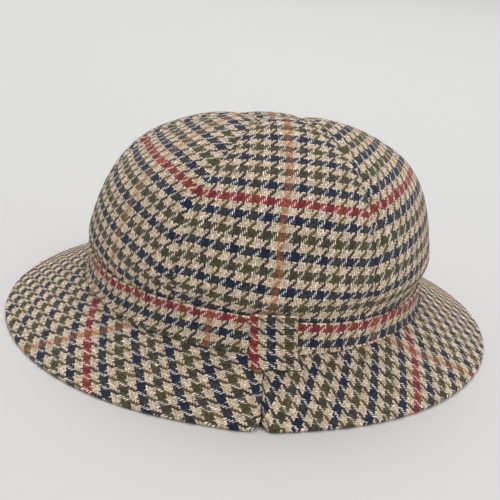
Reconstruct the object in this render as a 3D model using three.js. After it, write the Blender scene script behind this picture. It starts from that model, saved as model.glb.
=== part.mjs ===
// Tweed walking hat: six crown panels, a brim in two halves, and a cloth band with its tab.
// Millimetres, +Z up, +Y the front of the hat, resting on the rim of the brim at Z = 0.
import * as THREE from 'three';

const { clamp, degToRad, lerp, smoothstep } = THREE.MathUtils;

// Sewn pieces keep this much clear of each other.
const GAP = 0.3;

// The crown is an oval dome. It leans a little to one side and its top falls towards the front.
const CROWN = {
  halfWidth: 92.4,
  halfLength: 105.8,
  centreX: 1.3,
  centreY: -6.6,
  foot: 24.8,
  top: 110.7,
  wall: 2.2,
  riseExponent: 2.85,
  fullnessExponent: 3.3,
  taper: 0.044,
  lean: 5.5,
  topTilt: 0.102,
};

// Towards its top the back stands up in a soft ridge, and every panel puffs out a little.
const RIDGE = { at: 0.79, reach: 0.21, allRound: 0.5, back: 4.5, narrowness: 2, puff: 1.2 };

// It draws in under the band, and dips along every seam above it.
const TUCK = { amount: 0.055, lowZ: 35, highZ: 50 };
const SEAM = { dip: 1.1, width: 5, startsAt: 0.1, fullAt: 0.3, tipRadius: 0.7 };

// Seam azimuths in degrees run from the back (0) by the right side (90) to the front (180).
// A seam may drift on its way up. Each panel lies between its own seam and the next.
const DRIFT = { startsAt: 0.3, fullAt: 0.8 };
const PANELS = [
  { name: 'crown_panel_back', seam: -31.5, drift: 5 },
  { name: 'crown_panel_back_right', seam: 31.5, drift: 0 },
  { name: 'crown_panel_front_right', seam: 90, drift: 0 },
  { name: 'crown_panel_front', seam: 148.5, drift: 0 },
  { name: 'crown_panel_front_left', seam: 211.5, drift: 0 },
  { name: 'crown_panel_back_left', seam: 270, drift: 0 },
];
// Rows crowd towards the foot, where the panel bends round the band.
const PANEL_GRID = { columns: 10, rows: 18, rowSpread: 1.35 };

// The brim slopes from the foot of the crown to a flat rim that rests on the ground.
const BRIM = {
  halfWidth: 131,
  halfLength: 138,
  centreY: 0.85,
  thickness: 3,
  flatRim: 3,
  edgeRound: 0.8,
  seamMargin: 4.5,
  seamAzimuth: degToRad(-1),
  columns: 38,
  slopeRows: 4,
};
// At the back seam both halves round off into a small notch, with a lip on either side.
const NOTCH = { depth: 3.6, reach: 7, lip: 1.6, lipReach: 14, rows: 6 };

// The band is lower on the right and dips on the left. Its ends meet under the tab, where it rides up.
const BAND = { clear: 0.55, thickness: 1.5, topZ: 39.4, slant: 3.8, join: 0.4, rows: 4, columns: 66 };
const BAND_RISES = [{ at: -14, reach: 24, rise: 2.6 }, { at: -66, reach: 24, rise: -2.3 }];
// The tab's length is measured up from the turn at the foot of the band and out along the brim.
// It leans, so its end on the brim lies further to the right than its top.
const TAB = {
  thickness: 1.4,
  width: 24,
  turnUp: 3.5,
  turnOut: 2.4,
  topZ: 45.4,
  onBrim: 7,
  lean: 3.7,
  leanOnBrim: 0.7,
  columns: 6,
  rows: 3,
};

const CLOTH = { crown: '#94866c', band: '#8c7d66', brim: '#978970', roughness: 0.95 };

// The dome's meridian at its widest: how far out and how far up, from the foot to the top.
class Meridian extends THREE.Curve {
  getPoint(t, target = new THREE.Vector2()) {
    const angle = t * t * Math.PI / 2;
    const rise = Math.sin(angle) ** (2 / CROWN.riseExponent);
    const z = lerp(CROWN.foot, CROWN.top, rise);
    const tuck = TUCK.amount * (1 - smoothstep(z, TUCK.lowZ, TUCK.highZ));
    const dome = Math.max(0, Math.cos(angle)) ** (2 / CROWN.fullnessExponent);
    const fullness = dome * (1 - CROWN.taper * rise) * (1 - tuck);
    return target.set(CROWN.halfWidth * fullness, z - CROWN.foot);
  }
}
const meridian = new Meridian();
meridian.arcLengthDivisions = 2000;

// How strongly the ridge and the puff of the panels show at a fraction s of the way up.
function nearRidge(s) {
  return Math.cos(clamp((s - RIDGE.at) / RIDGE.reach, -1, 1) * Math.PI / 2) ** 2;
}

// A point of the smooth dome, at a fraction s of the way from the foot to the top.
function dome(azimuth, s) {
  const point = meridian.getPointAt(clamp(s, 0, 1));
  const rise = point.y / (CROWN.top - CROWN.foot);
  const back = CROWN.halfLength / CROWN.halfWidth * point.x * Math.cos(azimuth);
  const facingBack = ((1 + Math.cos(azimuth)) / 2) ** RIDGE.narrowness;
  const ridge = nearRidge(s) * (RIDGE.allRound + RIDGE.back * facingBack);
  return new THREE.Vector3(
    CROWN.centreX + CROWN.lean * rise + point.x * Math.sin(azimuth),
    CROWN.centreY - back,
    CROWN.foot + point.y + CROWN.topTilt * back * rise + ridge,
  );
}

function domeNormal(azimuth, s) {
  const step = 0.002;
  const around = dome(azimuth + step, s).sub(dome(azimuth - step, s));
  const up = dome(azimuth, Math.min(s + step, 1 - step)).sub(dome(azimuth, s - step));
  return around.cross(up).normalize();
}

function domeOffset(azimuth, s, offset) {
  return dome(azimuth, s).addScaledVector(domeNormal(azimuth, s), offset);
}

function domeRadius(s) {
  return meridian.getPointAt(s).x * (1 + CROWN.halfLength / CROWN.halfWidth) / 2;
}

// The fraction s where the dome reaches a height near its foot.
function domeAtHeight(azimuth, z) {
  let low = 0;
  let high = 0.5;
  for (let halving = 0; halving < 30; halving += 1) {
    const middle = (low + high) / 2;
    if (dome(azimuth, middle).z > z) {
      high = middle;
    } else {
      low = middle;
    }
  }
  return low;
}

// A closed body between two matching grids of points, its outside and its inside.
function shell(outside, inside) {
  const rows = outside.length;
  const columns = outside[0].length;
  const positions = [outside, inside].flat(2).flatMap((point) => point.toArray());
  const indices = [];
  const outer = (row, column) => row * columns + column;
  const inner = (row, column) => rows * columns + outer(row, column);
  const quad = (a, b, c, d) => indices.push(a, b, c, a, c, d);
  for (let r = 1; r < rows; r += 1) {
    for (let c = 1; c < columns; c += 1) {
      quad(outer(r - 1, c - 1), outer(r - 1, c), outer(r, c), outer(r, c - 1));
      quad(inner(r - 1, c - 1), inner(r, c - 1), inner(r, c), inner(r - 1, c));
    }
    const end = columns - 1;
    quad(outer(r - 1, 0), outer(r, 0), inner(r, 0), inner(r - 1, 0));
    quad(outer(r - 1, end), inner(r - 1, end), inner(r, end), outer(r, end));
  }
  for (let c = 1; c < columns; c += 1) {
    const end = rows - 1;
    quad(outer(0, c - 1), inner(0, c - 1), inner(0, c), outer(0, c));
    quad(outer(end, c - 1), outer(end, c), inner(end, c), inner(end, c - 1));
  }
  const geometry = new THREE.BufferGeometry();
  geometry.setAttribute('position', new THREE.Float32BufferAttribute(positions, 3));
  geometry.setIndex(indices);
  geometry.computeVertexNormals();
  return geometry;
}

function steps(count, make) {
  return Array.from({ length: count + 1 }, (_, index) => make(index / count));
}

// An angle brought into the half turn on either side of zero.
function wrapped(angle) {
  const turn = 2 * Math.PI;
  return angle - turn * Math.round(angle / turn);
}

function seamAzimuth(panel, s) {
  return degToRad(panel.seam + panel.drift * smoothstep(s, DRIFT.startsAt, DRIFT.fullAt));
}

// How far the cloth dips at a point, drawn in by the nearest seam.
function seamDip(azimuth, s) {
  const distances = PANELS.map((panel) => {
    return Math.abs(wrapped(azimuth - seamAzimuth(panel, s))) * domeRadius(s);
  });
  const nearest = Math.min(...distances) / SEAM.width;
  return SEAM.dip * smoothstep(s, SEAM.startsAt, SEAM.fullAt) * Math.exp(-nearest * nearest);
}

function crownPanel(panel, index) {
  const next = PANELS[(index + 1) % PANELS.length];
  const wrap = next === PANELS[0] ? 2 * Math.PI : 0;
  const tip = 1 - SEAM.tipRadius / meridian.getLength();
  const face = (offset) => steps(PANEL_GRID.rows, (row) => {
    const s = tip * row ** PANEL_GRID.rowSpread;
    const inset = GAP / 2 / domeRadius(s);
    const from = seamAzimuth(panel, s) + inset;
    const to = seamAzimuth(next, s) + wrap - inset;
    return steps(PANEL_GRID.columns, (column) => {
      const azimuth = lerp(from, to, column);
      const puff = RIDGE.puff * nearRidge(s) * Math.sin(Math.PI * column) ** 2;
      return domeOffset(azimuth, s, offset + puff - seamDip(azimuth, s));
    });
  });
  return shell(face(0), face(-CROWN.wall));
}

// The two ends of the brim's slope at one azimuth: its sewn inner edge and its rim.
function brimSpan(azimuth) {
  const inner = domeOffset(azimuth, 0, -CROWN.wall);
  const fromSeam = Math.abs(wrapped(azimuth - BRIM.seamAzimuth)) * BRIM.halfWidth;
  const fromNotch = (fromSeam - NOTCH.reach) / NOTCH.lipReach;
  const lip = NOTCH.lip * Math.exp(-fromNotch * fromNotch);
  const rim = new THREE.Vector3(
    (BRIM.halfWidth + lip) * Math.sin(azimuth),
    BRIM.centreY - (BRIM.halfLength + lip) * Math.cos(azimuth),
    0,
  );
  return { inner, rim, width: Math.hypot(rim.x - inner.x, rim.y - inner.y) };
}

// A point on the upper face of the brim, a distance in from its rim.
function brimTop(azimuth, fromRim) {
  const { inner, rim, width } = brimSpan(azimuth);
  const slope = width - BRIM.seamMargin - BRIM.flatRim;
  const point = rim.lerp(inner, fromRim / width);
  point.z = lerp(BRIM.thickness, CROWN.foot - GAP, clamp((fromRim - BRIM.flatRim) / slope, 0, 1));
  return point;
}

function brimHalf(side) {
  const notchEnd = 2 * NOTCH.reach / BRIM.halfWidth;
  const angles = steps(NOTCH.rows, (part) => notchEnd * part * part);
  angles.push(...steps(BRIM.columns, (part) => lerp(notchEnd, Math.PI, part)).slice(1));
  const section = (angle, drop) => {
    const { width } = brimSpan(BRIM.seamAzimuth + side * angle);
    const cut = NOTCH.depth * Math.max(0, 1 - angle * BRIM.halfWidth / NOTCH.reach) ** 2;
    const edge = cut + BRIM.edgeRound;
    const flat = Math.max(BRIM.flatRim, edge + BRIM.edgeRound);
    const slope = steps(BRIM.slopeRows, (part) => lerp(flat, width - BRIM.seamMargin, part));
    return [cut, edge, ...slope, width].map((fromRim, station) => {
      const trim = GAP / 2 / lerp(BRIM.halfWidth, CROWN.halfWidth, fromRim / width);
      const fromSeam = clamp(angle, trim, Math.PI - trim);
      const point = brimTop(BRIM.seamAzimuth + side * fromSeam, fromRim);
      const rounding = station === 0 ? BRIM.thickness / 4 : 0;
      point.z -= Math.abs(drop - rounding);
      return point;
    });
  };
  const upper = angles.map((angle) => section(angle, 0));
  const lower = angles.map((angle) => section(angle, BRIM.thickness));
  return side > 0 ? shell(lower, upper) : shell(upper, lower);
}

function bandTop(azimuth) {
  const rises = BAND_RISES.map(({ at, reach, rise }) => {
    const away = wrapped(azimuth - degToRad(at)) / degToRad(reach);
    return rise * Math.exp(-away * away);
  });
  return rises.reduce((sum, rise) => sum + rise, BAND.topZ - BAND.slant * Math.sin(azimuth));
}

function bandStrip() {
  const inset = GAP / 2 / CROWN.halfLength;
  const start = degToRad(BAND.join) + inset;
  const end = degToRad(BAND.join) + 2 * Math.PI - inset;
  const face = (offset) => steps(BAND.rows, (row) => steps(BAND.columns, (column) => {
    const azimuth = lerp(start, end, column);
    const top = domeAtHeight(azimuth, bandTop(azimuth));
    return domeOffset(azimuth, top * row, offset);
  }));
  return shell(face(BAND.clear + BAND.thickness), face(BAND.clear));
}

// The tab lies over the join of the band, turns at its foot and runs on along the brim.
function bandTab() {
  const half = degToRad(BAND.join) + TAB.width / 2 / CROWN.halfLength;
  const onBrim = (azimuth, out, offset) => {
    const { width } = brimSpan(azimuth);
    const fromRim = width - BRIM.seamMargin - out;
    const point = brimTop(azimuth, fromRim);
    const uphill = brimTop(azimuth, fromRim + 1).sub(point);
    const around = new THREE.Vector3(Math.cos(azimuth), Math.sin(azimuth), 0);
    return point.addScaledVector(around.cross(uphill).normalize(), GAP + offset);
  };
  const onBand = (azimuth, z, offset) => {
    const clear = BAND.clear + BAND.thickness + GAP;
    return domeOffset(azimuth, domeAtHeight(azimuth, z), clear + offset);
  };
  const along = (column, lean) => lerp(-half, half, column) + lean * TAB.lean / CROWN.halfLength;
  const face = (offset) => [
    ...steps(TAB.rows, (part) => steps(TAB.columns, (column) => {
      const azimuth = along(column, lerp(1, TAB.leanOnBrim, part));
      return onBrim(azimuth, lerp(TAB.onBrim, TAB.turnOut, part), offset);
    })),
    ...steps(TAB.rows, (part) => steps(TAB.columns, (column) => {
      const azimuth = along(column, lerp(TAB.leanOnBrim, 0, part));
      return onBand(azimuth, lerp(CROWN.foot + TAB.turnUp, TAB.topZ, part), offset);
    })),
  ];
  return shell(face(TAB.thickness), face(0));
}

const hat = new THREE.Group();
hat.name = 'tweed_walking_hat';

function addPiece(name, geometry, color) {
  const material = new THREE.MeshStandardMaterial({ name, color, roughness: CLOTH.roughness });
  const piece = new THREE.Mesh(geometry, material);
  piece.name = name;
  hat.add(piece);
}

PANELS.forEach((panel, index) => {
  addPiece(panel.name, crownPanel(panel, index), CLOTH.crown);
});
addPiece('brim_right', brimHalf(1), CLOTH.brim);
addPiece('brim_left', brimHalf(-1), CLOTH.brim);
addPiece('band', bandStrip(), CLOTH.band);
addPiece('band_tab', bandTab(), CLOTH.band);

export default hat;
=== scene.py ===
# Tweed walking hat: a crown of six panels, a brim in two halves, and a band with its tab.
# Sizes are in millimetres and become metres in Blender, except for the floor and the lamps.
import math

import bpy
import numpy as np
from mathutils import Matrix, Vector


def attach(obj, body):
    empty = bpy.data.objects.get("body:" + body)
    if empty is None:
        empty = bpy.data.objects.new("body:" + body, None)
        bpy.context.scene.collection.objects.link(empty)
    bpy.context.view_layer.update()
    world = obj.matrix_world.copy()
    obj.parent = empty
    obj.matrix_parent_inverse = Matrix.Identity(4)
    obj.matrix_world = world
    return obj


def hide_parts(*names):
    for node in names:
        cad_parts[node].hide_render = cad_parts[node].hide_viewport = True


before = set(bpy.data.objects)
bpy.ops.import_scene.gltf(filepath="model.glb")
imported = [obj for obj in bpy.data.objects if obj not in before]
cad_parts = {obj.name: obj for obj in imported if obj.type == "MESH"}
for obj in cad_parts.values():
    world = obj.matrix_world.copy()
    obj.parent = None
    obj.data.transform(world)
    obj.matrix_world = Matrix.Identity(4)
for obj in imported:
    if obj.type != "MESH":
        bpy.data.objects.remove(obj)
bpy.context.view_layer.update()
scene = bpy.context.scene

# Camera
# A long lens from behind and a little above the hat, turned slightly to one side.
# It is rolled a few degrees, as a camera held by hand is.
VIEW = dict(aim=(0, 0, 41.3), distance=577.6, elevation=18.6, turn=5.5, roll=5.0)
LENS = dict(focal=76.19, sensor=36, shift_x=-0.0038, shift_y=-0.0174)
MM_PER_M = 1000

tip, turn, roll = (math.radians(VIEW[key]) for key in ("elevation", "turn", "roll"))
ahead = Vector((math.sin(turn) * math.cos(tip), math.cos(turn) * math.cos(tip), -math.sin(tip)))
level = Vector((math.cos(turn), -math.sin(turn), 0))
upright = level.cross(ahead)
right = math.cos(roll) * level + math.sin(roll) * upright
up = math.cos(roll) * upright - math.sin(roll) * level
camera = bpy.data.objects.new("camera", bpy.data.cameras.new("camera"))
camera.matrix_world = Matrix((right, up, -ahead)).transposed().to_4x4()
camera.location = (Vector(VIEW["aim"]) - VIEW["distance"] * ahead) / MM_PER_M
camera.data.lens = LENS["focal"]
camera.data.sensor_width = LENS["sensor"]
camera.data.shift_x = LENS["shift_x"]
camera.data.shift_y = LENS["shift_y"]
scene.collection.objects.link(camera)
scene.camera = camera

# Crown panels
# Six gussets of wool tweed, cut with the weave upright and sewn edge to edge into a dome.
# The edges turn in at every seam, and the seams draw the cloth in and pucker it a little.
CROWN = dict(half_width=92.4, half_length=105.8, centre_x=1.3, centre_y=-6.6, foot=24.8, top=110.7)
DOME = dict(rise=2.85, fullness=3.3, taper=0.044, lean=5.5, tilt=0.102, steps=4001)
# The soft ridge near the top, strongest at the back, and the tuck where the band draws it in.
RIDGE = dict(at=0.79, reach=0.21, all_round=0.5, back=4.5, narrowness=2, puff=1.2)
TUCK = dict(amount=0.055, low=35, high=50)
# How the seams sink and drift, and how the cloth puckers beside them and eases between them.
SEAM = dict(dip=1.5, width=5, starts=0.1, full=0.3, gap=0.03, sunk=0.3, tip=0.002)
DRIFT = dict(starts=0.3, full=0.8)
PUCKER = dict(height=0.25, reach=7, length=8.5, uneven=11, full=2)
EASE = dict(height=0.8, across=47, along=39, full=20)
PANEL = dict(wall=2.2, fold=1.3, columns=65, rows=110, crowding=0.75)
# The square of the share of its thickness that a cloth keeps at the very edge of a fold.
EDGE_LEFT = 0.003
# Each panel's two seams and how far each drifts on its way up, and how its weave lies: the rows'
# slope, and where the red row and the rust column cross its centre line.
PANELS = [
    ("crown_panel_back", (-31.5, 5), (31.5, 0), -0.083, 71.8, -1.1),
    ("crown_panel_back_right", (31.5, 0), (90, 0), 0.163, 73.2, 0),
    ("crown_panel_front_right", (90, 0), (148.5, 0), 0.1, 77.0, -2),
    ("crown_panel_front", (148.5, 0), (211.5, 0), 0, 80.0, 0.5),
    ("crown_panel_front_left", (211.5, 0), (270, 0), -0.1, 83.0, 2),
    ("crown_panel_back_left", (270, 0), (328.5, 5), -0.213, 80.9, 7.5),
]
# Easing the curved edges together takes out half of the rows' bend.
ROW_BEND = 0.5


def ramp(value, low, high):
    part = np.clip((value - low) / (high - low), 0, 1)
    return part * part * (3 - 2 * part)


def meridian():
    """How full the dome is and how far it has risen, against the way along it."""
    angle = np.linspace(0, 1, DOME["steps"]) ** 2 * np.pi / 2
    rise = np.sin(angle) ** (2 / DOME["rise"])
    z = CROWN["foot"] + (CROWN["top"] - CROWN["foot"]) * rise
    full = np.clip(np.cos(angle), 0, 1) ** (2 / DOME["fullness"]) * (1 - DOME["taper"] * rise)
    full *= 1 - TUCK["amount"] * (1 - ramp(z, TUCK["low"], TUCK["high"]))
    steps = np.hypot(np.diff(CROWN["half_width"] * full), np.diff(z))
    way = np.concatenate([[0], np.cumsum(steps)])
    return way / way[-1], full, rise


WAY, FULL, RISE = meridian()


def near_ridge(way):
    return np.cos(np.clip((way - RIDGE["at"]) / RIDGE["reach"], -1, 1) * np.pi / 2) ** 2


def dome(azimuth, way):
    full, rise = np.interp(way, WAY, FULL), np.interp(way, WAY, RISE)
    back = CROWN["half_length"] * full * np.cos(azimuth)
    facing_back = ((1 + np.cos(azimuth)) / 2) ** RIDGE["narrowness"]
    ridge = near_ridge(way) * (RIDGE["all_round"] + RIDGE["back"] * facing_back)
    x = CROWN["centre_x"] + DOME["lean"] * rise + CROWN["half_width"] * full * np.sin(azimuth)
    z = CROWN["foot"] + (CROWN["top"] - CROWN["foot"]) * rise + DOME["tilt"] * back * rise + ridge
    return np.stack([x, CROWN["centre_y"] - back, z], -1)


def unit(vectors):
    return vectors / np.linalg.norm(vectors, axis=-1, keepdims=True)


def dome_normal(azimuth, way):
    step = 0.002
    around = dome(azimuth + step, way) - dome(azimuth - step, way)
    upward = dome(azimuth, np.minimum(way + step, 1 - step)) - dome(azimuth, way - step)
    return unit(np.cross(around, upward))


def crowd(count, amount):
    """Even steps from 0 to 1 that crowd towards both ends."""
    even = np.linspace(0, 1, count)
    return even + amount * ((1 - np.cos(np.pi * even)) / 2 - even)


def lay_flat(points, bend):
    """The flat cloth that a grid of points was cut from, measured from its middle column."""
    middle = points.shape[1] // 2
    normals = unit(np.cross(np.gradient(points, axis=1), np.gradient(points, axis=0)))
    steps = np.linalg.norm(np.diff(points, axis=1), axis=-1)
    along = np.diff(points, axis=1) / steps[..., None]
    inward = np.cross(normals[:, 1:-1], along[:, :-1])
    turns = np.einsum("ijk,ijk->ij", np.diff(along, axis=1), inward)
    start = np.zeros((len(points), 1))
    heading = np.concatenate([start, np.cumsum(turns, 1)], 1)
    heading -= heading[:, middle - 1:middle + 1].mean(1, keepdims=True)
    heading *= bend
    across = np.concatenate([start, np.cumsum(steps * np.cos(heading), 1)], 1)
    climb = np.concatenate([start, np.cumsum(steps * np.sin(heading), 1)], 1)
    spine = np.linalg.norm(np.diff(points[:, middle], axis=0), axis=-1)
    spine = np.concatenate([[0], np.cumsum(spine)])
    across -= across[:, middle:middle + 1]
    climb += spine[:, None] - climb[:, middle:middle + 1]
    return across, climb


def rounded(distance, radius):
    """How much of a cloth's thickness is left at a distance from its folded edge."""
    part = np.clip(1 - distance / radius, 0, 1)
    return np.sqrt(np.clip(1 - part * part, EDGE_LEFT, 1))


def cloth_piece(name, outside, normals, thickness, cloth, material):
    """A closed sheet of cloth: a grid of points outside, the same grid inside, and its edges."""
    rows, columns = outside.shape[:2]
    inside = outside - normals * np.asarray(thickness)[..., None]
    count = rows * columns
    ids = np.arange(count).reshape(rows, columns)
    quads = np.stack([ids[:-1, :-1], ids[:-1, 1:], ids[1:, 1:], ids[1:, :-1]], -1).reshape(-1, 4)
    ring = np.concatenate([ids[0], ids[1:, -1], ids[-1, -2::-1], ids[-2:0:-1, 0]])
    after = np.roll(ring, -1)
    edges = np.stack([ring, ring + count, after + count, after], -1)
    faces = np.concatenate([quads, quads[:, ::-1] + count, edges])
    mesh = bpy.data.meshes.new(name)
    points = np.concatenate([outside.reshape(-1, 3), inside.reshape(-1, 3)]) / MM_PER_M
    mesh.from_pydata(points.tolist(), [], faces.tolist())
    mesh.shade_smooth()
    flat = np.concatenate([cloth.reshape(-1, 2)] * 2)
    layer = mesh.uv_layers.new(name="Cloth")
    layer.data.foreach_set("uv", flat[faces.ravel()].astype(np.float32).ravel())
    mesh.materials.append(material)
    piece = bpy.data.objects.new(name + "_cloth", mesh)
    scene.collection.objects.link(piece)
    return piece


# The cloth is a two-and-two twill of four coloured and four cream threads each way.
# Every other coloured stripe is navy; the rest are olive, but for one in twelve.
COLUMN_THREAD = 0.8625
ROW_THREAD = 1.005
OVER = 2
STRIPE = 4
REPEAT = 96
# Each yarn's colour, and 1 for a pale yarn or 0 for a dark one.
YARN = dict(
    ivory=(0.96, 0.87, 0.76, 1),
    cream=(0.78, 0.59, 0.41, 1),
    navy=(0.014, 0.025, 0.062, 0),
    olive=(0.104, 0.091, 0.040, 0),
    red=(0.40, 0.034, 0.037, 0),
    rust=(0.45, 0.160, 0.064, 0),
)
# How often and how far the threads wander, and how uneven they are along their length.
WANDER = ((0.045, 3.0), (0.33, 0.8), (0.9, 0.8), (2.6, 0.4))
WANDER_DETAIL = 2
SLUB = dict(along=0.14, apart=3.7, scale=1, detail=3)
# How wide the floats lie, how round their loops are, and how far the two threads mingle.
FLOAT = dict(row=1.0, column=0.86, pale_column=0.28, uneven=0.4, taper=0.4, crispness=2.0)
LOOP = dict(across=0.55, along=0.5)
MINGLE = dict(dark=0.72, rust=0.5, column=0.3, rust_column=0.48)
# How the fibres twist round a yarn, how the dye varies, and how much each shades the cloth; the
# loop share is painted shade, darker at each thread's edges and float ends.
FIBRES = dict(along=2.4, across=3.2, column=7.3, row=3.1, scale=1.7, detail=3, relief=0.3)
MELANGE = dict(scale=0.7, detail=4)
TONE_AND_PAINTED_SHADE = dict(loop=0.85, fibres=1.6, melange=2.2, slub=1.2)


def put(tree, kind, inputs=(), **settings):
    """A node, with each named input set to a number or joined to another node's output."""
    node = tree.nodes.new(kind)
    for key, value in settings.items():
        setattr(node, key, value)
    for key, value in dict(inputs).items():
        if isinstance(value, bpy.types.NodeSocket):
            tree.links.new(value, node.inputs[key])
        else:
            node.inputs[key].default_value = value
    return node


def reckoner(tree):
    """Sums on the sockets of a node tree."""
    def reckon(operation, *values):
        return put(tree, "ShaderNodeMath", enumerate(values), operation=operation).outputs[0]
    return reckon


def stripes(tree, thread, accent, ground):
    """A thread's colour, by its number in the chart of one repeat, and whether it is pale."""
    reckon = reckoner(tree)
    place = reckon("DIVIDE", reckon("ADD", reckon("FLOORED_MODULO", thread, REPEAT), 0.5), REPEAT)
    chart = put(tree, "ShaderNodeValToRGB", {"Fac": place})
    chart.color_ramp.interpolation = "CONSTANT"
    stops = chart.color_ramp.elements
    stripe_count = REPEAT // (2 * STRIPE)
    for number in range(stripe_count):
        coloured = "navy" if number % 2 else "olive"
        for half, yarn in enumerate((coloured if number else accent, ground)):
            position = (number + half / 2) / stripe_count
            stop = stops[0] if position == 0 else stops.new(position)
            stop.position = position
            stop.color = YARN[yarn]
    # A new chart has a stop at its end, which isn't needed.
    stops.remove(stops[-1])
    return chart.outputs["Color"], chart.outputs["Alpha"]


def make_weave():
    tree = bpy.data.node_groups.new("houndstooth tweed", "ShaderNodeTree")
    tree.interface.new_socket("Cloth", in_out="INPUT", socket_type="NodeSocketVector")
    tree.interface.new_socket("Wander", in_out="INPUT", socket_type="NodeSocketFloat")
    tree.interface.new_socket("Color", in_out="OUTPUT", socket_type="NodeSocketColor")
    tree.interface.new_socket("Height", in_out="OUTPUT", socket_type="NodeSocketFloat")
    given = put(tree, "NodeGroupInput")
    reckon = reckoner(tree)

    def noise(vector, scale, detail):
        inputs = {"Vector": vector, "Scale": scale, "Detail": detail}
        return put(tree, "ShaderNodeTexNoise", inputs).outputs

    def scaled(vector, factor):
        inputs = {0: vector, "Scale": factor}
        return put(tree, "ShaderNodeVectorMath", inputs, operation="SCALE").outputs[0]

    # Threads wander a little, slowly along the cloth and quickly from loop to loop.
    noise_middle = (0.5, 0.5, 0.5)
    wandered = given.outputs["Cloth"]
    for scale, reach in WANDER:
        inputs = {0: noise(given.outputs["Cloth"], scale, WANDER_DETAIL)["Color"], 1: noise_middle}
        centred = put(tree, "ShaderNodeVectorMath", inputs, operation="SUBTRACT").outputs[0]
        moved = scaled(centred, reckon("MULTIPLY", given.outputs["Wander"], reach))
        wandered = put(tree, "ShaderNodeVectorMath", {0: wandered, 1: moved}).outputs[0]
    parts = put(tree, "ShaderNodeSeparateXYZ", {0: wandered}).outputs
    x = reckon("ADD", reckon("DIVIDE", parts["X"], COLUMN_THREAD), STRIPE / 2)
    y = reckon("ADD", reckon("DIVIDE", parts["Y"], ROW_THREAD), STRIPE / 2)
    column, row = reckon("FLOOR", x), reckon("FLOOR", y)
    in_column, in_row = reckon("FRACT", x), reckon("FRACT", y)

    # Which thread lies on top, and the place on it: across its width and along its float.
    step = reckon("FLOORED_MODULO", reckon("SUBTRACT", column, row), 2 * OVER)
    column_on_top = reckon("LESS_THAN", step, OVER - 0.5)
    column_float = reckon("ADD", reckon("SUBTRACT", OVER - 1, step), in_row)
    row_float = reckon("ADD", reckon("SUBTRACT", step, OVER), in_column)

    def choose(for_row, for_column):
        inputs = {"Factor": column_on_top, 2: for_row, 3: for_column}
        return put(tree, "ShaderNodeMix", inputs).outputs[0]

    across = reckon("MULTIPLY_ADD", choose(in_row, in_column), 2, -1)
    along = reckon("MULTIPLY_ADD", choose(row_float, column_float), 2 / OVER, -1)

    def hump(part, steepness):
        return reckon("MULTIPLY_ADD", reckon("MULTIPLY", part, part), -steepness, 1)

    def blend(factor, first, second):
        inputs = {"Factor": factor, 6: first, 7: second}
        return put(tree, "ShaderNodeMix", inputs, data_type="RGBA").outputs[2]

    # Each thread's rounded loop gives its relief, and also a painted shade at its edges.
    loop = reckon("MULTIPLY", hump(across, LOOP["across"]), hump(along, LOOP["along"]))

    # Every yarn has thick and thin places along its length.
    along_row = reckon("MULTIPLY", parts["X"], SLUB["along"])
    along_column = reckon("MULTIPLY", parts["Y"], SLUB["along"])
    inputs = {
        "X": choose(along_row, reckon("MULTIPLY", column, SLUB["apart"])),
        "Y": choose(reckon("MULTIPLY", row, SLUB["apart"]), along_column),
        "Z": reckon("MULTIPLY", column_on_top, SLUB["apart"]),
    }
    yarn_place = put(tree, "ShaderNodeCombineXYZ", inputs).outputs[0]
    slub = noise(yarn_place, SLUB["scale"], SLUB["detail"])[0]

    # A float is widest in its middle, and the thread under it shows beside it. The pale yarn of
    # the columns is thin.
    row_yarn, row_pale = stripes(tree, row, "red", "cream")
    column_yarn, column_pale = stripes(tree, column, "rust", "ivory")
    top_yarn = blend(column_on_top, row_yarn, column_yarn)
    under_yarn = blend(column_on_top, column_yarn, row_yarn)
    thinner = FLOAT["pale_column"] - FLOAT["column"]
    column_width = reckon("MULTIPLY_ADD", column_pale, thinner, FLOAT["column"])
    width = reckon("MULTIPLY_ADD", slub, FLOAT["uneven"], choose(FLOAT["row"], column_width))
    reach = reckon("MULTIPLY", hump(along, FLOAT["taper"]), width)
    spare = reckon("SUBTRACT", reach, reckon("ABSOLUTE", across))
    covered = reckon("MULTIPLY_ADD", spare, FLOAT["crispness"], 0.5)
    covered = put(tree, "ShaderNodeClamp", {0: covered}).outputs[0]
    colours = blend(covered, under_yarn, top_yarn)

    # Where both threads are dark their fibres mingle, and the soft rust yarn's do everywhere.
    both_dark = reckon("SUBTRACT", 1, reckon("MAXIMUM", row_pale, column_pale))
    in_rust = reckon("LESS_THAN", reckon("FLOORED_MODULO", column, REPEAT), STRIPE)
    mingled = reckon("MULTIPLY", both_dark, MINGLE["dark"])
    mingled = reckon("MAXIMUM", mingled, reckon("MULTIPLY", in_rust, MINGLE["rust"]))
    more_rust = MINGLE["rust_column"] - MINGLE["column"]
    share = reckon("MULTIPLY_ADD", in_rust, more_rust, MINGLE["column"])
    colours = blend(mingled, colours, blend(share, row_yarn, column_yarn))

    # Twisted fibres run slantwise round every yarn.
    twist = reckon("MULTIPLY", across, FIBRES["across"])
    twist = reckon("MULTIPLY_ADD", along, FIBRES["along"], twist)
    strand = reckon("MULTIPLY", row, FIBRES["row"])
    strand = reckon("MULTIPLY_ADD", column, FIBRES["column"], strand)
    spun = put(tree, "ShaderNodeCombineXYZ", {"X": twist, "Y": along, "Z": strand}).outputs[0]
    fibres = noise(spun, FIBRES["scale"], FIBRES["detail"])[0]

    # Wool takes dye unevenly, so each yarn is lighter in one place and darker in another; on top
    # of that, painted shade darkens each thread towards its edges and the ends of its float.
    melange = noise(wandered, MELANGE["scale"], MELANGE["detail"])[0]
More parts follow.
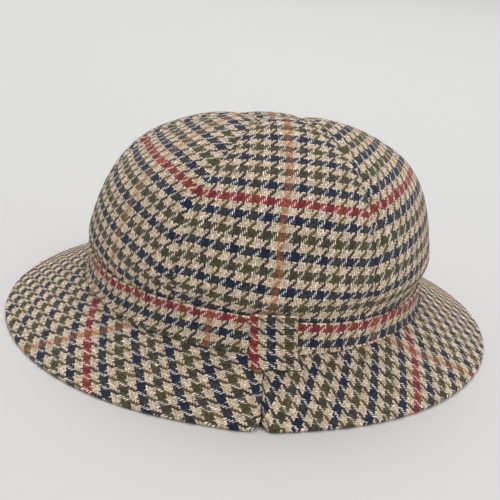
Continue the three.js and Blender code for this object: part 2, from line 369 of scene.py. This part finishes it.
    # Painted shade: the loop share darkens the colour where a thread rounds down between its
    # neighbours.
    painted_shade_and_tone = reckon("MULTIPLY_ADD", loop, TONE_AND_PAINTED_SHADE["loop"], 1 - TONE_AND_PAINTED_SHADE["loop"] / 2)
    for kind, value in (("fibres", fibres), ("melange", melange), ("slub", slub)):
        lighter = reckon("MULTIPLY_ADD", value, TONE_AND_PAINTED_SHADE[kind], 1 - TONE_AND_PAINTED_SHADE[kind] / 2)
        painted_shade_and_tone = reckon("MULTIPLY", painted_shade_and_tone, lighter)
    height = reckon("MULTIPLY_ADD", fibres, FIBRES["relief"], loop)
    put(tree, "NodeGroupOutput", {"Color": scaled(colours, painted_shade_and_tone), "Height": height})
    return tree


weave = make_weave()

# Wool is matt, with the soft warm sheen of its short fibres.
WOOL = {
    "Roughness": 0.92,
    "Specular IOR Level": 0.25,
    "Sheen Weight": 0.18,
    "Sheen Roughness": 0.45,
    "Sheen Tint": (1, 0.93, 0.82, 1),
}
BUMP_STRENGTH = 0.9


def tweed(name, wander, relief):
    """Wool tweed with the weave's colours and relief, read from the cloth's own map."""
    material = bpy.data.materials.new(name)
    material.use_nodes = True
    tree = material.node_tree
    shader = tree.nodes["Principled BSDF"]
    for socket, value in WOOL.items():
        shader.inputs[socket].default_value = value
    lie = put(tree, "ShaderNodeUVMap", uv_map="Cloth").outputs["UV"]
    cloth = put(tree, "ShaderNodeGroup", {"Cloth": lie, "Wander": wander}, node_tree=weave)
    bump = put(tree, "ShaderNodeBump", {
        "Height": cloth.outputs["Height"],
        "Strength": BUMP_STRENGTH,
        "Distance": relief / MM_PER_M,
    })
    tree.links.new(cloth.outputs["Color"], shader.inputs["Base Color"])
    tree.links.new(bump.outputs["Normal"], shader.inputs["Normal"])
    return material


crown_tweed = tweed("crown tweed", wander=1, relief=0.8)


def crown_panel(first_seam, last_seam, row_slope, red_row, rust_column):
    way = np.linspace(0, 1 - SEAM["tip"], PANEL["rows"])[:, None]
    drifted = ramp(way, DRIFT["starts"], DRIFT["full"])
    start, end = (np.radians(at + drift * drifted) for at, drift in (first_seam, last_seam))
    radius = np.interp(way, WAY, FULL) * (CROWN["half_width"] + CROWN["half_length"]) / 2
    inset = SEAM["gap"] / np.maximum(radius, 1)
    part = crowd(PANEL["columns"], PANEL["crowding"])[None]
    azimuth = start + inset + (end - start - 2 * inset) * part
    way = np.broadcast_to(way, azimuth.shape)
    points, normals = dome(azimuth, way), dome_normal(azimuth, way)
    across, climb = lay_flat(points, ROW_BEND)
    to_seam = np.minimum(azimuth - start, end - azimuth) * radius

    # The seams draw the cloth in and pucker it, and between them it puffs out and eases.
    dip = SEAM["dip"] * np.exp(-((to_seam / SEAM["width"]) ** 2))
    phase = first_seam[0]
    uneven = np.sin(climb / PUCKER["uneven"] + phase)
    ripple = np.sin(2 * np.pi * climb / PUCKER["length"] + uneven)
    near_seam = np.exp(-to_seam / PUCKER["reach"])
    dip += PUCKER["height"] * near_seam * ripple * ramp(to_seam, 0, PUCKER["full"])
    billow = np.sin(2 * across / EASE["across"] + phase)
    billow *= np.sin(2 * climb / EASE["along"] + phase)
    dip += EASE["height"] * billow * ramp(to_seam, 0, EASE["full"])
    dip *= ramp(way, SEAM["starts"], SEAM["full"])
    dip -= RIDGE["puff"] * near_ridge(way) * np.sin(np.pi * part) ** 2

    # The edges turn in at the seams, and the foot is folded under the band.
    at_seam = 1 - SEAM["sunk"] * (1 - rounded(to_seam, PANEL["fold"]))
    left = np.minimum(at_seam, rounded(climb - climb[:1], PANEL["fold"]))
    middle = points - normals * (dip + PANEL["wall"] / 2)[..., None]
    outside = middle + normals * (left * PANEL["wall"] / 2)[..., None]
    cloth = np.stack([across - rust_column, climb - row_slope * across - red_row], -1)
    return outside, normals, left * PANEL["wall"], cloth


for name, *lie in PANELS:
    panel = cloth_piece(name, *crown_panel(*lie), crown_tweed)
    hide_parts(name)
    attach(panel, "root")

# Brim halves
# Two halves of the same tweed, cut with the weave turned a quarter, joined at the back and front.
# Layers sewn together and turned at the rim make it thick. A small notch opens at the back seam.
BRIM = dict(half_width=131, half_length=138, centre_y=0.85, thickness=3, rim=1.7, margin=4.5)
BRIM_SEAM = dict(azimuth=-1, gap=0.05, dip=0.8, width=1.6, fold=0.6)
NOTCH = dict(depth=4.4, reach=5.5, lip=1.6, lip_reach=14)
BRIM_GRID = dict(columns=261, rows=60, crowding=0.7, rim_crowding=1.3)
CLEAR = 0.3
# The weave lies as it would on a narrower and steeper brim, so it fans out as the real one does.
BRIM_CUT = dict(narrower=0.6, drop=38, row_bend=1)
# Where each half starts from the back seam, and how its weave lies: the rows' slope and the
# columns' lean, where the red row and the rust column are, and how close the rows and columns lie.
HALVES = [
    ("brim_right", 0, 0.448, -0.338, 77.9, -61.9, 1.076, 0.896),
    ("brim_left", -180, -0.338, 0.333, 64.2, 60.0, 1.054, 0.823),
]

brim_tweed = tweed("brim tweed", wander=1, relief=0.8)


def from_back_seam(azimuth):
    """How far round an azimuth is from the back seam of the brim, either way."""
    turned = azimuth - math.radians(BRIM_SEAM["azimuth"])
    return np.abs((turned + np.pi) % (2 * np.pi) - np.pi)


def brim_top(azimuth, part):
    """A point on the brim, from its rim (0) to its sewn edge under the crown (1)."""
    sewn = dome(azimuth, 0 * azimuth) - PANEL["wall"] * dome_normal(azimuth, 0 * azimuth)
    arc = from_back_seam(azimuth) * BRIM["half_width"]
    lip = NOTCH["lip"] * np.exp(-(((arc - NOTCH["reach"]) / NOTCH["lip_reach"]) ** 2))
    cut = NOTCH["depth"] * np.clip(1 - arc / NOTCH["reach"], 0, 1) ** 2
    rim = np.stack([
        (BRIM["half_width"] + lip) * np.sin(azimuth),
        BRIM["centre_y"] - (BRIM["half_length"] + lip) * np.cos(azimuth),
        0 * azimuth,
    ], -1)
    width = np.linalg.norm((rim - sewn)[..., :2], axis=-1)
    inward = cut + (width - cut) * part
    point = rim + (sewn - rim) * (inward / width)[..., None]
    slope = np.clip(inward / (width - BRIM["margin"]), 0, 1)
    low, high = BRIM["rim"], CROWN["foot"] - CLEAR
    point[..., 2] = low + (high - low) * slope
    return point, inward - cut, width - inward


def brim_half(first, row_slope, lean, red_row, rust_column, row_draw, column_draw):
    part = crowd(BRIM_GRID["columns"], BRIM_GRID["crowding"])[None]
    trim = BRIM_SEAM["gap"] / BRIM["half_width"]
    azimuth = math.radians(first + BRIM_SEAM["azimuth"]) + trim + (np.pi - 2 * trim) * part
    inward = (np.linspace(0, 1, BRIM_GRID["rows"]) ** BRIM_GRID["rim_crowding"])[:, None]
    azimuth, inward = np.broadcast_arrays(azimuth, inward)
    points, from_rim, from_crown = brim_top(azimuth, inward)
    normals = unit(np.cross(np.gradient(points, axis=1), np.gradient(points, axis=0)))

    # Where the weave would lie on the narrower and steeper brim.
    sewn = points[-1:]
    as_cut = sewn + (points - sewn) * BRIM_CUT["narrower"]
    as_cut[..., 2] = sewn[..., 2] - BRIM_CUT["drop"] * (1 - inward)
    across, climb = lay_flat(as_cut, BRIM_CUT["row_bend"])
    to_rust_column = (across - lean * climb - rust_column) * column_draw
    to_red_row = (climb - row_slope * across - red_row) * row_draw
    cloth = np.stack([to_rust_column, to_red_row], -1)

    # All four edges are folded, and the seams draw the cloth in.
    turned = from_back_seam(azimuth)
    to_seam = np.minimum(turned, np.pi - turned) * np.hypot(points[..., 0], points[..., 1])
    thick = np.minimum(BRIM["thickness"], points[..., 2] / normals[..., 2])
    left = rounded(np.minimum(from_rim, from_crown), BRIM["rim"] / 2)
    left = np.minimum(left, rounded(to_seam, BRIM_SEAM["fold"]))
    dip = BRIM_SEAM["dip"] * np.exp(-((to_seam / BRIM_SEAM["width"]) ** 2))
    outside = points - normals * (thick / 2 * (1 - left) + dip * left)[..., None]
    return outside, normals, (thick - dip) * left, cloth


for name, *lie in HALVES:
    half = cloth_piece(name, *brim_half(*lie), brim_tweed)
    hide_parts(name)
    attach(half, "root")

# Band
# A folded strip of the tweed round the foot of the crown, with the red row along its top edge.
# It is lower on the right, its foot turns out onto the brim, and its ends meet at the back.
BAND = dict(clear=0.25, thickness=1.4, top=39.4, slant=3.8, join=0.4, gap=0.0008)
BAND_GRID = dict(columns=361, rows=40)
# Where the top edge rides up or dips, how far round that reaches, and how high.
BAND_RISES = ((-14, 24, 2.6), (-66, 24, -2.3))
BAND_FOOT = dict(out=3.0, turn=1.4, up=3.0, stations=9)
BAND_WEAVE = dict(red_below_top=2.6, rust_column=-28.6, eased=1.08)
PATH = dict(crowding=0.6, easing=8)
FOOT_SEARCH = dict(up_to=0.5, halvings=30)

band_tweed = tweed("band tweed", wander=1, relief=0.8)


def way_to_height(azimuth, z):
    """How far up the dome a height near its foot is reached."""
    low, high = 0 * azimuth, FOOT_SEARCH["up_to"] + 0 * azimuth
    for _ in range(FOOT_SEARCH["halvings"]):
        middle = (low + high) / 2
        above = dome(azimuth, middle)[..., 2] > z
        low, high = np.where(above, low, middle), np.where(above, middle, high)
    return low


def over_dome(azimuth, z, offset):
    way = way_to_height(azimuth, z)
    return dome(azimuth, way) + offset * dome_normal(azimuth, way)


def over_brim(azimuth, out, offset):
    """A point over the brim, so far out from the crown."""
    _, _, width = brim_top(azimuth, 0 * azimuth)
    point, _, _ = brim_top(azimuth, 1 - (PANEL["wall"] + out) / width)
    return point + np.array([0, 0, offset])


def distances(points):
    """How far along its column each point of a grid is."""
    steps = np.linalg.norm(np.diff(points, axis=0), axis=-1)
    return np.concatenate([0 * steps[:1], np.cumsum(steps, 0)])


def follow(stations, count):
    """A grid whose columns run through the stations, eased round the bends."""
    stations = np.array(stations)
    way = distances(stations)
    part = crowd(count, PATH["crowding"])
    grid = np.empty((count, *stations.shape[1:]))
    for column in range(stations.shape[1]):
        for axis in range(3):
            along = way[:, column]
            grid[:, column, axis] = np.interp(part * along[-1], along, stations[:, column, axis])
    for _ in range(PATH["easing"]):
        grid[1:-1] = (grid[:-2] + 2 * grid[1:-1] + grid[2:]) / 4
    return grid


def band_strip():
    azimuth = np.linspace(BAND["gap"], 2 * np.pi - BAND["gap"], BAND_GRID["columns"])
    azimuth += math.radians(BAND["join"])
    top = BAND["top"] - BAND["slant"] * np.sin(azimuth)
    for at, reach, rise in BAND_RISES:
        away = (np.degrees(azimuth) - at + 180) % 360 - 180
        top += rise * np.exp(-((away / reach) ** 2))
    low = CROWN["foot"] + BAND_FOOT["up"]
    stations = [over_brim(azimuth, BAND_FOOT[out], CLEAR) for out in ("out", "turn")]
    for part in np.linspace(0, 1, BAND_FOOT["stations"]):
        stations.append(over_dome(azimuth, low + (top - low) * part, BAND["clear"]))
    inside = follow(stations, BAND_GRID["rows"])
    normals = unit(np.cross(np.gradient(inside, axis=1), np.gradient(inside, axis=0)))
    climb = distances(inside + normals * BAND["thickness"])
    tall = climb[-1:]
    around = distances(inside[-1][:, None])[:, 0]
    around = np.where(azimuth > np.pi, around - around[-1], around)
    fold = BAND["thickness"] / 2
    left = rounded(np.minimum(climb, tall - climb), fold)
    outside = inside + normals * (fold + left * fold)[..., None]
    around, _ = np.broadcast_arrays(around - BAND_WEAVE["rust_column"], climb)
    down = (climb - tall) * BAND_WEAVE["eased"] + BAND_WEAVE["red_below_top"]
    cloth = np.stack([around, down], -1)
    return outside, normals, left * BAND["thickness"], cloth


band = cloth_piece("band", *band_strip(), band_tweed)
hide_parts("band")
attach(band, "root")

# Tab
# A short loop of the tweed with its weave turned a quarter, sewn over the join of the band.
# It leans a little, bends out over the foot of the band, and its end lies on the brim.
TAB = dict(thickness=1.4, width=24, top=45.4, lean=3.7, lean_on_brim=0.7, up=4.5)
TAB_GRID = dict(columns=41, rows=60)
# How far out the tab's foot lies and how high over the brim, from its end to its bend.
TAB_FOOT = ((9.3, 0.33), (6.9, 0.33), (4.9, 0.9), (3.2, 2.2))
TAB_STATIONS = 8
TAB_WEAVE = dict(red_column=-9.3, rust_row=40)


def band_tab():
    half = math.radians(BAND["join"]) + TAB["width"] / 2 / CROWN["half_length"]
    upright = np.linspace(-half, half, TAB_GRID["columns"])
    lean = TAB["lean"] / CROWN["half_length"]
    stations = []
    shares = np.linspace(1, TAB["lean_on_brim"], len(TAB_FOOT))
    for (out, height), share in zip(TAB_FOOT, shares):
        stations.append(over_brim(upright + lean * share, out, height))
    clear = BAND["clear"] + BAND["thickness"] + CLEAR
    low = CROWN["foot"] + TAB["up"]
    for part in np.linspace(0, 1, TAB_STATIONS):
        azimuth = upright + lean * TAB["lean_on_brim"] * (1 - part)
        stations.append(over_dome(azimuth, low + (TAB["top"] - low) * part, clear))
    inside = follow(stations, TAB_GRID["rows"])
    normals = unit(np.cross(np.gradient(inside, axis=1), np.gradient(inside, axis=0)))
    climb = distances(inside)
    across = distances(inside.transpose(1, 0, 2)).T
    wide = across[:, -1:]
    to_edge = np.minimum(np.minimum(across, wide - across), np.minimum(climb, climb[-1:] - climb))
    fold = TAB["thickness"] / 2
    left = rounded(to_edge, fold)
    outside = inside + normals * (fold + left * fold)[..., None]
    to_rust_row = TAB_WEAVE["rust_row"] - climb
    to_red_column = across - wide / 2 - TAB_WEAVE["red_column"]
    cloth = np.stack([to_rust_row, to_red_column], -1)
    return outside, normals, left * TAB["thickness"], cloth


tab = cloth_piece("band_tab", *band_tab(), band_tweed)
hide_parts("band_tab")
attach(tab, "root")

# Floor and light
# A plain pale floor under wide soft lamps, which belong to the studio and not to the hat.
# Their sizes and places are in metres, and the lamps' power is in watts.
FLOOR = dict(half=6, colour=(0.82, 0.815, 0.81, 1), roughness=0.9)
SKY = dict(colour=(1, 1, 1, 1), strength=0.49)
LAMP_AIM = (0, 0, 0.05)
LAMPS = [
    ("front", (0.7, -1.2, 1.9), 1.2, 9),
    ("overhead", (0.1, 1.4, 2.6), 2.4, 32),
]

side = FLOOR["half"]
corners = [(-side, -side, 0), (side, -side, 0), (side, side, 0), (-side, side, 0)]
mesh = bpy.data.meshes.new("floor")
mesh.from_pydata(corners, [], [(0, 1, 2, 3)])
floor = bpy.data.objects.new("floor", mesh)
scene.collection.objects.link(floor)
floor_paint = bpy.data.materials.new("floor paint")
floor_paint.use_nodes = True
shader = floor_paint.node_tree.nodes["Principled BSDF"]
shader.inputs["Base Color"].default_value = FLOOR["colour"]
shader.inputs["Roughness"].default_value = FLOOR["roughness"]
mesh.materials.append(floor_paint)
for name, spot, size, power in LAMPS:
    lamp = bpy.data.objects.new(name, bpy.data.lights.new(name, "AREA"))
    lamp.data.shape = "DISK"
    lamp.data.size = size
    lamp.data.energy = power
    lamp.location = spot
    lamp.rotation_mode = "QUATERNION"
    lamp.rotation_quaternion = (Vector(LAMP_AIM) - Vector(spot)).to_track_quat("-Z", "Y")
    scene.collection.objects.link(lamp)
scene.world = bpy.data.worlds.new("studio")
scene.world.use_nodes = True
sky = scene.world.node_tree.nodes["Background"]
sky.inputs["Color"].default_value = SKY["colour"]
sky.inputs["Strength"].default_value = SKY["strength"]
scene.view_settings.view_transform = "Standard"
